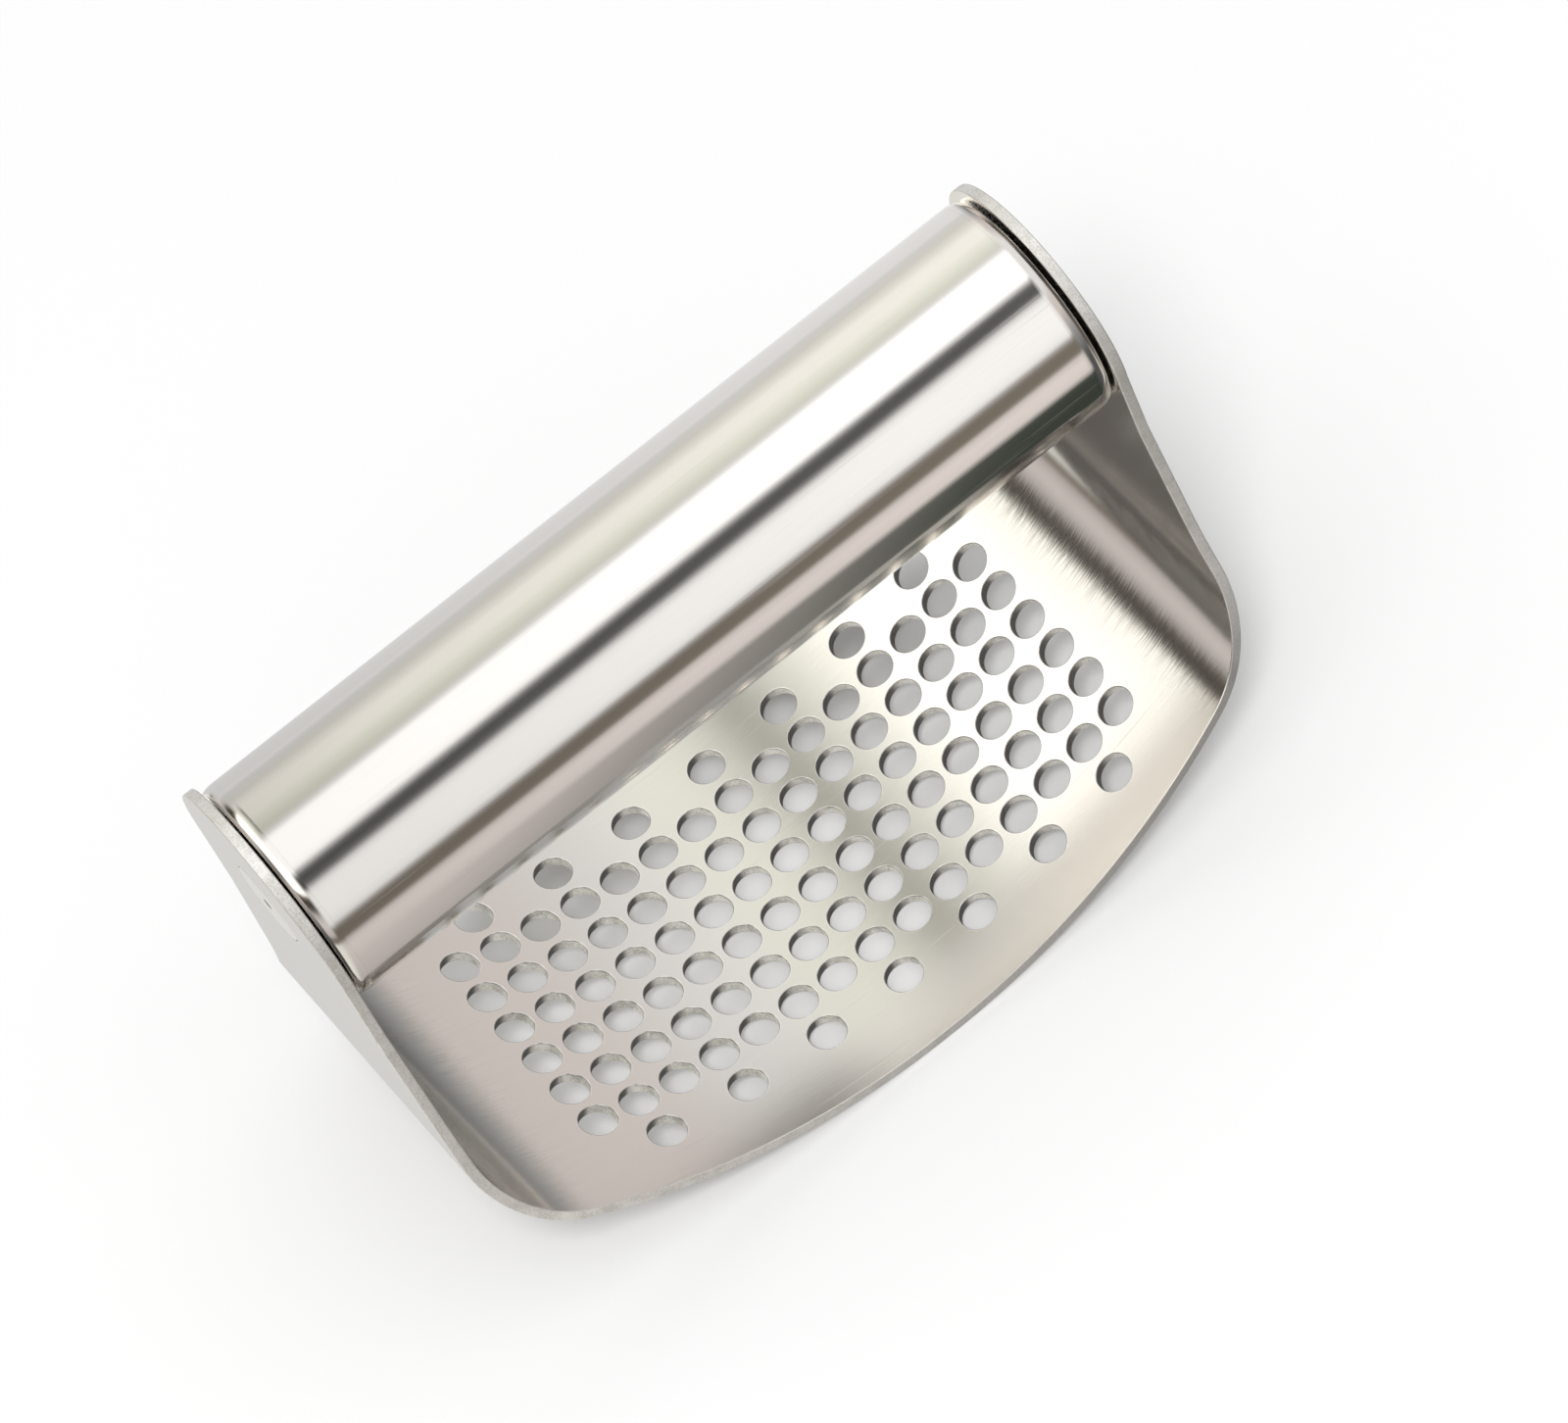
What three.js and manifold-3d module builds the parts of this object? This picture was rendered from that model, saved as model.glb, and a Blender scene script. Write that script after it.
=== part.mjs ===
// A rocking garlic press: one bent, perforated steel sheet whose two ears carry a hollow handle.
// Millimetres. X runs along the handle, Z points up, and the origin is the lowest point of the
// rocker's underside, midway between the ears.

import * as THREE from "three";
import Module from "manifold-3d";
import { mergeVertices } from "three/addons/utils/BufferGeometryUtils.js";

// --- Driving dimensions ---------------------------------------------------------------------

// Bent sheet: a shallow arc, a tight bend at each end, then an upright ear.
const SHEET = 1.2;
const ROCKER_RADIUS = 89.3; // upper face of the plate
const ROCKER_HALF_ANGLE = THREE.MathUtils.degToRad(26.4);
const BEND_RADIUS = 12.6; // upper face of each bend

// Outline of the flat blank, as half-widths along its length.
const MID_HALF_WIDTH = 25.9;
const SIDE_BULGE_RADIUS = 240; // the long edges bow outwards
const SHOULDER_START = 40.4;
const SHOULDER_PULL = new THREE.Vector2(9, -1.6);
const NECK_BASE = new THREE.Vector2(62, 15.1);
const NECK_PULL = new THREE.Vector2(-9, 1.35);
const NECK_TOP = new THREE.Vector2(76, 12.95);
const EAR_RADIUS = 13.2;
const SHOULDER_STEPS = 12;
const EAR_STEP = THREE.MathUtils.degToRad(15);
const EAR_STATIONS = 7;

// Perforation: columns across the plate's length, alternately full and short.
const HOLE_RADIUS = 2;
const HOLE_SIDES = 12;
const COLUMN_PITCH = 4.88;
const ROW_PITCH = 5;
const COLUMNS_EACH_SIDE = 7;
const ROWS_FULL = 8;
const ROWS_SHORT = 6;

// Handle.
const HANDLE_HEIGHT = 53.1;
const TUBE_RADIUS = 12.3;
const TUBE_WALL = 1;
const CAP_ROUND = 1.5; // along the handle
const CAP_ROUND_DROP = 0.5; // towards its axis
const CAP_FACE = 1.2;
const CAP_SPIGOT_LENGTH = 7;
const CAP_BORE = 2.7;
const WASHER_THICKNESS = 0.2;
const WASHER_RADIUS = 6;
const WASHER_BORE = 4.6;
const COLLAR_RADIUS = 4.6;
const COLLAR_LENGTH = 5;
const COLLAR_BORE = 2.6;

// Pivot pin: a wide end that turns in the ear, flush with its outer face, and a shank in the cap.
const EAR_HOLE_RADIUS = 4.55;
const PIN_RADIUS = 4.4;
const SHANK_RADIUS = 2.4;
const SHANK_PAST_COLLAR = 1.5;
const CENTRE_MARK_RADIUS = 0.5;
const CENTRE_MARK_DEPTH = 0.4;

// Clearances.
const RUN = 0.1; // between pieces that turn past each other
const FIT = 0.3; // between pieces that are joined

const ROUND_SIDES = 40;
const SMALL_SIDES = 24;

// --- Derived places -------------------------------------------------------------------------

const QUARTER_TURN = Math.PI / 2;
const ROCKER_LENGTH = ROCKER_RADIUS * ROCKER_HALF_ANGLE;
const BEND_ANGLE = QUARTER_TURN - ROCKER_HALF_ANGLE;
const BEND_LENGTH = BEND_RADIUS * BEND_ANGLE;
const BEND_CENTRE_X = (ROCKER_RADIUS - BEND_RADIUS) * Math.sin(ROCKER_HALF_ANGLE);
const BEND_CENTRE_Z = SHEET + ROCKER_RADIUS
  - (ROCKER_RADIUS - BEND_RADIUS) * Math.cos(ROCKER_HALF_ANGLE);
const EAR_INNER_X = BEND_CENTRE_X + BEND_RADIUS;
const EAR_OUTER_X = EAR_INNER_X + SHEET;
const EAR_AXIS_STATION = ROCKER_LENGTH + BEND_LENGTH + HANDLE_HEIGHT - BEND_CENTRE_Z;
const WASHER_OUTER_X = EAR_INNER_X - RUN;
const CAP_OUTER_X = WASHER_OUTER_X - WASHER_THICKNESS;

// --- Materials ------------------------------------------------------------------------------

const sheetSteel = new THREE.MeshStandardMaterial({
  color: 0xc9c6c0, roughness: 0.36, metalness: 1,
});
const handleSteel = new THREE.MeshStandardMaterial({
  color: 0xd2cdc7, roughness: 0.24, metalness: 1,
});
const pinSteel = new THREE.MeshStandardMaterial({
  color: 0xd9d7d3, roughness: 0.2, metalness: 1,
});
const innerSteel = new THREE.MeshStandardMaterial({
  color: 0xa9a7a3, roughness: 0.5, metalness: 1,
});

// --- Solids ---------------------------------------------------------------------------------

const wasm = await Module();
wasm.setup();

// Turns a closed geometry into a manifold solid.
function solidFrom(geometry) {
  const bare = geometry.clone();
  bare.deleteAttribute("normal");
  bare.deleteAttribute("uv");
  const merged = mergeVertices(bare, 1e-4);
  return new wasm.Manifold(new wasm.Mesh({
    numProp: 3,
    vertProperties: merged.attributes.position.array,
    triVerts: new Uint32Array(merged.index.array),
  }));
}

// Turns a manifold solid back into a geometry.
function geometryFrom(solid) {
  const mesh = solid.getMesh();
  const geometry = new THREE.BufferGeometry();
  geometry.setAttribute("position", new THREE.BufferAttribute(mesh.vertProperties, 3));
  geometry.setIndex(new THREE.BufferAttribute(mesh.triVerts, 1));
  geometry.computeVertexNormals();
  return geometry;
}

// Cuts a list of geometries out of another one.
function cut(geometry, cutters) {
  const tool = cutters.map(solidFrom).reduce((all, next) => all.add(next));
  return geometryFrom(solidFrom(geometry).subtract(tool));
}

// Turns a profile of [radius, x] points round the X axis.
function turnedAboutX(profile, sides) {
  const points = profile.map(([radius, x]) => new THREE.Vector2(radius, x));
  const geometry = new THREE.LatheGeometry(points, sides);
  geometry.rotateZ(-QUARTER_TURN);
  return geometry;
}

// Points of an elliptical quarter round from [radius, x - run] to [radius - drop, x].
function quarterRound(radius, x, run, drop, steps) {
  return Array.from({ length: steps + 1 }, (_, i) => {
    const angle = (i / steps) * QUARTER_TURN;
    return [radius - drop * (1 - Math.cos(angle)), x - run * (1 - Math.sin(angle))];
  });
}

// --- Press body -----------------------------------------------------------------------------

// Half-widths of the blank over the rocker, with a station midway between hole columns.
function rockerStations() {
  const lengths = [];
  for (let column = 0; column <= COLUMNS_EACH_SIDE; column += 1) {
    lengths.push((column + 0.5) * COLUMN_PITCH);
  }
  return lengths.map((length) => new THREE.Vector2(length, sideHalfWidth(length)));
}

function sideHalfWidth(length) {
  return MID_HALF_WIDTH - SIDE_BULGE_RADIUS
    + Math.sqrt(SIDE_BULGE_RADIUS ** 2 - length ** 2);
}

// The shoulder sweeps from the long edge, through the bend, to the neck of the ear.
function shoulderStations() {
  const start = new THREE.Vector2(SHOULDER_START, sideHalfWidth(SHOULDER_START));
  const curve = new THREE.CubicBezierCurve(
    start,
    start.clone().add(SHOULDER_PULL),
    NECK_BASE.clone().add(NECK_PULL),
    NECK_BASE,
  );
  return curve.getPoints(SHOULDER_STEPS);
}

// The ear ends in a round top about the handle's axis.
function earStations() {
  const stations = [NECK_TOP];
  for (let i = EAR_STATIONS - 1; i >= 0; i -= 1) {
    const angle = (i + 0.5) * EAR_STEP;
    stations.push(new THREE.Vector2(
      EAR_AXIS_STATION + EAR_RADIUS * Math.cos(angle),
      EAR_RADIUS * Math.sin(angle),
    ));
  }
  return stations;
}

// Folds a length along the blank into [x, z], at a depth below the upper face.
function fold(length, depth) {
  if (length <= ROCKER_LENGTH) {
    const angle = length / ROCKER_RADIUS;
    const radius = ROCKER_RADIUS + depth;
    return [radius * Math.sin(angle), SHEET + ROCKER_RADIUS - radius * Math.cos(angle)];
  }
  if (length <= ROCKER_LENGTH + BEND_LENGTH) {
    const angle = ROCKER_HALF_ANGLE + (length - ROCKER_LENGTH) / BEND_RADIUS;
    const radius = BEND_RADIUS + depth;
    return [
      BEND_CENTRE_X + radius * Math.sin(angle),
      BEND_CENTRE_Z - radius * Math.cos(angle),
    ];
  }
  return [EAR_INNER_X + depth, BEND_CENTRE_Z + length - ROCKER_LENGTH - BEND_LENGTH];
}

// The four corners of the sheet's section at one station, on the side that sign names.
function sectionCorners(station, sign) {
  const [innerX, innerZ] = fold(station.x, 0);
  const [outerX, outerZ] = fold(station.x, SHEET);
  return [
    [sign * innerX, -station.y, innerZ],
    [sign * innerX, station.y, innerZ],
    [sign * outerX, station.y, outerZ],
    [sign * outerX, -station.y, outerZ],
  ];
}

// The bent sheet without holes: sections joined from the left ear's top to the right ear's.
function bentSheet() {
  const half = [...rockerStations(), ...shoulderStations(), ...earStations()];
  const sections = [
    ...half.toReversed().map((station) => sectionCorners(station, -1)),
    ...half.map((station) => sectionCorners(station, 1)),
  ];
  const index = [];
  for (let i = 0; i < sections.length - 1; i += 1) {
    for (let j = 0; j < 4; j += 1) {
      const a = 4 * i + j;
      const b = 4 * i + ((j + 1) % 4);
      index.push(a, a + 4, b, b, a + 4, b + 4);
    }
  }
  const last = 4 * (sections.length - 1);
  index.push(0, 1, 2, 0, 2, 3);
  index.push(last, last + 2, last + 1, last, last + 3, last + 2);
  const geometry = new THREE.BufferGeometry();
  geometry.setAttribute("position", new THREE.Float32BufferAttribute(sections.flat(2), 3));
  geometry.setIndex(index);
  return geometry;
}

// One punch, square to the plate, at a column and a distance from the plate's middle line.
function punch(column, y) {
  const length = 4 * SHEET;
  const geometry = new THREE.CylinderGeometry(HOLE_RADIUS, HOLE_RADIUS, length, HOLE_SIDES);
  const angle = (column * COLUMN_PITCH) / ROCKER_RADIUS;
  geometry.rotateX(QUARTER_TURN);
  geometry.translate(0, 0, -ROCKER_RADIUS - SHEET / 2);
  geometry.rotateY(-angle);
  geometry.translate(0, y, ROCKER_RADIUS + SHEET);
  return geometry;
}

// Every punch of the perforation: even columns hold the full number of rows.
function perforation() {
  const punches = [];
  for (let column = -COLUMNS_EACH_SIDE; column <= COLUMNS_EACH_SIDE; column += 1) {
    const rows = column % 2 === 0 ? ROWS_FULL : ROWS_SHORT;
    for (let row = 0; row < rows; row += 1) {
      punches.push(punch(column, (row - (rows - 1) / 2) * ROW_PITCH));
    }
  }
  return punches;
}

// A drill along the handle's axis, through both ears.
function earDrill() {
  const reach = EAR_OUTER_X + 1;
  const geometry = new THREE.CylinderGeometry(
    EAR_HOLE_RADIUS, EAR_HOLE_RADIUS, 2 * reach, ROUND_SIDES,
  );
  geometry.rotateZ(QUARTER_TURN);
  geometry.translate(0, 0, HANDLE_HEIGHT);
  return geometry;
}

function pressBody() {
  const geometry = cut(bentSheet(), [...perforation(), earDrill()]);
  const mesh = new THREE.Mesh(geometry, sheetSteel);
  mesh.name = "press_body";
  return mesh;
}

// --- Handle ---------------------------------------------------------------------------------
// Each handle piece is made on the X axis, for the right-hand end.

function handleTube() {
  const halfLength = CAP_OUTER_X - CAP_ROUND - FIT;
  const inner = TUBE_RADIUS - TUBE_WALL;
  const profile = [
    [inner, -halfLength],
    [TUBE_RADIUS, -halfLength],
    [TUBE_RADIUS, halfLength],
    [inner, halfLength],
    [inner, -halfLength],
  ];
  const mesh = new THREE.Mesh(turnedAboutX(profile, ROUND_SIDES), handleSteel);
  mesh.name = "handle_tube";
  return mesh;
}

// A pressed cap: a flat face with a round rim, and a spigot that goes into the tube.
function endCap() {
  const spigot = TUBE_RADIUS - TUBE_WALL - FIT;
  const rimX = CAP_OUTER_X - CAP_ROUND;
  const innerX = CAP_OUTER_X - CAP_FACE;
  const hollow = spigot - TUBE_WALL;
  const profile = [
    [CAP_BORE, innerX],
    [hollow, innerX],
    [hollow, rimX - CAP_SPIGOT_LENGTH],
    [spigot, rimX - CAP_SPIGOT_LENGTH],
    [spigot, rimX],
    ...quarterRound(TUBE_RADIUS, CAP_OUTER_X, CAP_ROUND, CAP_ROUND_DROP, 4),
    [CAP_BORE, CAP_OUTER_X],
    [CAP_BORE, innerX],
  ];
  return new THREE.Mesh(turnedAboutX(profile, ROUND_SIDES), handleSteel);
}

function spacerWasher() {
  const profile = [
    [WASHER_BORE, CAP_OUTER_X],
    [WASHER_RADIUS, CAP_OUTER_X],
    [WASHER_RADIUS, WASHER_OUTER_X],
    [WASHER_BORE, WASHER_OUTER_X],
    [WASHER_BORE, CAP_OUTER_X],
  ];
  return new THREE.Mesh(turnedAboutX(profile, SMALL_SIDES), pinSteel);
}

// A collar welded to the inside of the cap, which holds the pin's shank.
function pinCollar() {
  const outerX = CAP_OUTER_X - CAP_FACE;
  const innerX = outerX - COLLAR_LENGTH;
  const profile = [
    [COLLAR_BORE, innerX],
    [COLLAR_RADIUS, innerX],
    [COLLAR_RADIUS, outerX],
    [COLLAR_BORE, outerX],
    [COLLAR_BORE, innerX],
  ];
  return new THREE.Mesh(turnedAboutX(profile, SMALL_SIDES), innerSteel);
}

// The pin's wide end turns in the ear, and its shank is held by the collar. The lathe's centre
// has left a small cone in its face.
function pivotPin() {
  const tipX = CAP_OUTER_X - CAP_FACE - COLLAR_LENGTH - SHANK_PAST_COLLAR;
  const profile = [
    [0, tipX],
    [SHANK_RADIUS, tipX],
    [SHANK_RADIUS, CAP_OUTER_X],
    [PIN_RADIUS, CAP_OUTER_X],
    [PIN_RADIUS, EAR_OUTER_X],
    [CENTRE_MARK_RADIUS, EAR_OUTER_X],
    [0, EAR_OUTER_X - CENTRE_MARK_DEPTH],
  ];
  return new THREE.Mesh(turnedAboutX(profile, ROUND_SIDES), pinSteel);
}

// The pieces at one end of the handle; the left end is the right one turned half round Z.
function handleEnd(side) {
  const end = new THREE.Group();
  const pieces = {
    end_cap: endCap(),
    pin_collar: pinCollar(),
    spacer_washer: spacerWasher(),
    pivot_pin: pivotPin(),
  };
  for (const [name, mesh] of Object.entries(pieces)) {
    mesh.name = `${name}_${side}`;
    end.add(mesh);
  }
  end.rotation.z = side === "left" ? Math.PI : 0;
  return end;
}

// --- Assembly -------------------------------------------------------------------------------

const handle = new THREE.Group();
handle.add(handleTube(), handleEnd("left"), handleEnd("right"));
handle.position.z = HANDLE_HEIGHT;

const press = new THREE.Group();
press.add(pressBody(), handle);

export default press;
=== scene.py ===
"""Visual model of a rocking garlic press.

The press is one bent, perforated stainless sheet whose two ears carry a hollow handle. This script
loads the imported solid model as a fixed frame, builds the finished surfaces round it in metres, and
sets the studio that they are looked at in.
"""

import logging
import math
from collections.abc import Sequence
from dataclasses import dataclass
from enum import Enum

import bpy
from mathutils import Matrix, Vector


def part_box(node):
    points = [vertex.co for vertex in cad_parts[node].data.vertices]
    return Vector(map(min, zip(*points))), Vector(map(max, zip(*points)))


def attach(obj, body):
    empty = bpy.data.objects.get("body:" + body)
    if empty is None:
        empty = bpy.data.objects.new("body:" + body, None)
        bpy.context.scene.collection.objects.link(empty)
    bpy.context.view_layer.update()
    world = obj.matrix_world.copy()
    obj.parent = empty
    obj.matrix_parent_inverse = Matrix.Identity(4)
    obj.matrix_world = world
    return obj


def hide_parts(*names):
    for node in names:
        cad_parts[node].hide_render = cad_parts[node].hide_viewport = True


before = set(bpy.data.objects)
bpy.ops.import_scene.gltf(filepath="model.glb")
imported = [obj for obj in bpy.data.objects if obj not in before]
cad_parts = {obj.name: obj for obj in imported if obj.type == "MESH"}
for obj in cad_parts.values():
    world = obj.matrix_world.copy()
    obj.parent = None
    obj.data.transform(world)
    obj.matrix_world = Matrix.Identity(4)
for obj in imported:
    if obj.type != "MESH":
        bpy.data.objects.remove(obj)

LOG = logging.getLogger("garlic_press")

MM = 0.001
QUARTER_TURN = math.pi / 2
FULL_TURN = 2 * math.pi
FULL_TURN_DEGREES = 360

Rgb = tuple[float, float, float]
Point2 = tuple[float, float]
Ring = tuple[float, float]  # a radius, and a distance from the middle of the press
Face = tuple[int, ...]
Socket = bpy.types.NodeSocket

PRESS_BODY = "press"
HANDLE_BODY = "handle"


class GrainSpace(Enum):
    """Which coordinates the grain of a finish follows."""

    BLANK = "blank"  # the flat blank's own lengths, stored as a UV map
    OBJECT = "object"  # straight along X


class Side(Enum):
    """The two ends of the handle, as the sign of their X."""

    LEFT = -1
    RIGHT = 1

    @property
    def label(self) -> str:
        """The word used in node and piece names."""
        return self.name.lower()


# --- Node trees -----------------------------------------------------------------------------


@dataclass
class TreeBuilder:
    """Adds nodes to a shader or geometry tree and links them."""

    tree: bpy.types.NodeTree

    def add(self, kind: str, **settings: object) -> bpy.types.Node:
        """Adds a node.

        Args:
            kind: The node's type name.
            **settings: Properties to set on it.

        Returns:
            The new node.
        """
        node = self.tree.nodes.new(kind)
        for key, value in settings.items():
            setattr(node, key, value)
        return node

    def feed(self, node: bpy.types.Node, name: str, value: object) -> None:
        """Sets an input, or links it when the value is another node's output.

        Args:
            node: The node to feed.
            name: The input's name.
            value: An output socket, or a plain value.
        """
        self.give(next(s for s in node.inputs if s.name == name and s.enabled), value)

    def give(self, socket: Socket, value: object) -> None:
        """Links an output socket to an input, or sets the input to a plain value."""
        if isinstance(value, Socket):
            self.tree.links.new(value, socket)
        else:
            socket.default_value = value

    def make(self, kind: str, inputs: dict[str, object], **settings: object) -> bpy.types.Node:
        """Adds a node and feeds its inputs by name."""
        node = self.add(kind, **settings)
        for name, value in inputs.items():
            self.feed(node, name, value)
        return node

    def math(self, operation: str, *values: object, clamp: bool = False) -> Socket:
        """Adds a Math node.

        Args:
            operation: The operation's name.
            *values: Up to three sockets or numbers.
            clamp: Whether the result is held between 0 and 1.

        Returns:
            The result.
        """
        node = self.add("ShaderNodeMath", operation=operation, use_clamp=clamp)
        for socket, value in zip(node.inputs, values):
            self.give(socket, value)
        return node.outputs[0]

    def product(self, *values: object) -> Socket:
        """Multiplies two or more sockets or numbers."""
        result = values[0]
        for value in values[1:]:
            result = self.math("MULTIPLY", result, value)
        return result

    def distance(self, value: Socket, centre: float) -> Socket:
        """Gives how far a value is from a centre, on either side."""
        return self.math("ABSOLUTE", self.math("SUBTRACT", value, centre))

    def held(self, value: Socket, low: float, high: float) -> Socket:
        """Holds a value between two limits."""
        return self.math("MINIMUM", self.math("MAXIMUM", value, low), high)

    def fade(self, value: Socket, start: float, full: float) -> Socket:
        """Gives how far a value has gone from start to full, from 0 to 1."""
        return self.math("MULTIPLY", self.math("SUBTRACT", value, start), 1 / (full - start),
                         clamp=True)

    def axes(self, vector: Socket) -> bpy.types.NodeOutputs:
        """Splits a vector into its X, Y and Z."""
        return self.make("ShaderNodeSeparateXYZ", {"Vector": vector}).outputs

    def vector_math(self, operation: str, *vectors: Socket) -> Socket:
        """Adds a Vector Math node on one or two vectors."""
        node = self.add("ShaderNodeVectorMath", operation=operation)
        for socket, vector in zip(node.inputs, vectors):
            self.give(socket, vector)
        return node.outputs["Vector"]

    def scaled(self, vector: Socket, factor: Socket) -> Socket:
        """Scales a vector or a colour."""
        node = self.make("ShaderNodeVectorMath", {"Vector": vector, "Scale": factor},
                         operation="SCALE")
        return node.outputs["Vector"]

    def noise(self, place: Socket, size: float, detail: float, roughness: float = 0.5) -> Socket:
        """Makes noise.

        Args:
            place: The coordinates to read it at.
            size: The size of its features, in the coordinates' units.
            detail: How many finer octaves it has.
            roughness: How strong those are.

        Returns:
            The noise, from 0 to 1.
        """
        node = self.make("ShaderNodeTexNoise", {
            "Vector": place, "Scale": 1 / size, "Detail": detail, "Roughness": roughness})
        return node.outputs["Fac"]

    def bump(self, height: Socket, depth: float, **settings: object) -> bpy.types.Node:
        """Adds a Bump node at full strength with its depth in metres."""
        return self.make("ShaderNodeBump", {"Strength": 1.0, "Distance": depth, "Height": height},
                         **settings)

    def mix_colour(self, factor: object, first: object, second: object) -> Socket:
        """Mixes two colours by a factor."""
        node = self.add("ShaderNodeMix", data_type="RGBA")
        for name, value in (("Factor", factor), ("A", first), ("B", second)):
            self.feed(node, name, value)
        return next(s for s in node.outputs if s.enabled)

    def ramp(self, factor: object, stops: Sequence[tuple[float, Rgb]]) -> Socket:
        """Adds a colour ramp.

        Args:
            factor: The position to read it at.
            stops: Positions from 0 to 1, each with its colour.

        Returns:
            The colour.
        """
        node = self.make("ShaderNodeValToRGB", {"Fac": factor})
        elements = node.color_ramp.elements
        while len(elements) < len(stops):
            elements.new(0.5)
        for element, (position, colour) in zip(elements, sorted(stops)):
            element.position = position
            element.color = (*colour, 1.0)
        return node.outputs["Color"]


# --- Finishes -------------------------------------------------------------------------------


def new_material(name: str) -> tuple[bpy.types.Material, TreeBuilder, bpy.types.Node]:
    """Makes a material with a plain Principled shader.

    Args:
        name: The material's name.

    Returns:
        The material, a builder for its tree, and its Principled shader.
    """
    material = bpy.data.materials.new(name)
    material.use_nodes = True
    shader = material.node_tree.nodes["Principled BSDF"]
    return material, TreeBuilder(material.node_tree), shader


def make_metal(nodes: TreeBuilder, shader: bpy.types.Node, colour: Socket, roughness: Socket,
               bump: bpy.types.Node) -> None:
    """Feeds a Principled shader as bare metal.

    Args:
        nodes: The material's builder.
        shader: The Principled shader.
        colour: The metal's colour.
        roughness: Its roughness.
        bump: The node that gives its normal.
    """
    nodes.feed(shader, "Base Color", colour)
    nodes.feed(shader, "Roughness", roughness)
    nodes.feed(shader, "Metallic", 1.0)
    nodes.feed(shader, "Normal", bump.outputs["Normal"])


def opaque(tint: Rgb) -> tuple[float, float, float, float]:
    """Gives a colour with its alpha."""
    return (*tint, 1.0)


@dataclass(frozen=True)
class BrushMarks:
    """Marks that tip the surface a little, and in tufts where a bend starts."""

    lean: float
    bend_lean: float
    length: float = 3.5 * MM
    width: float = 0.13 * MM
    detail: float = 2.0
    bend_station: float = 42.2 * MM
    bend_reach: float = 4 * MM
    tuft_size: float = 5 * MM


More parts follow.
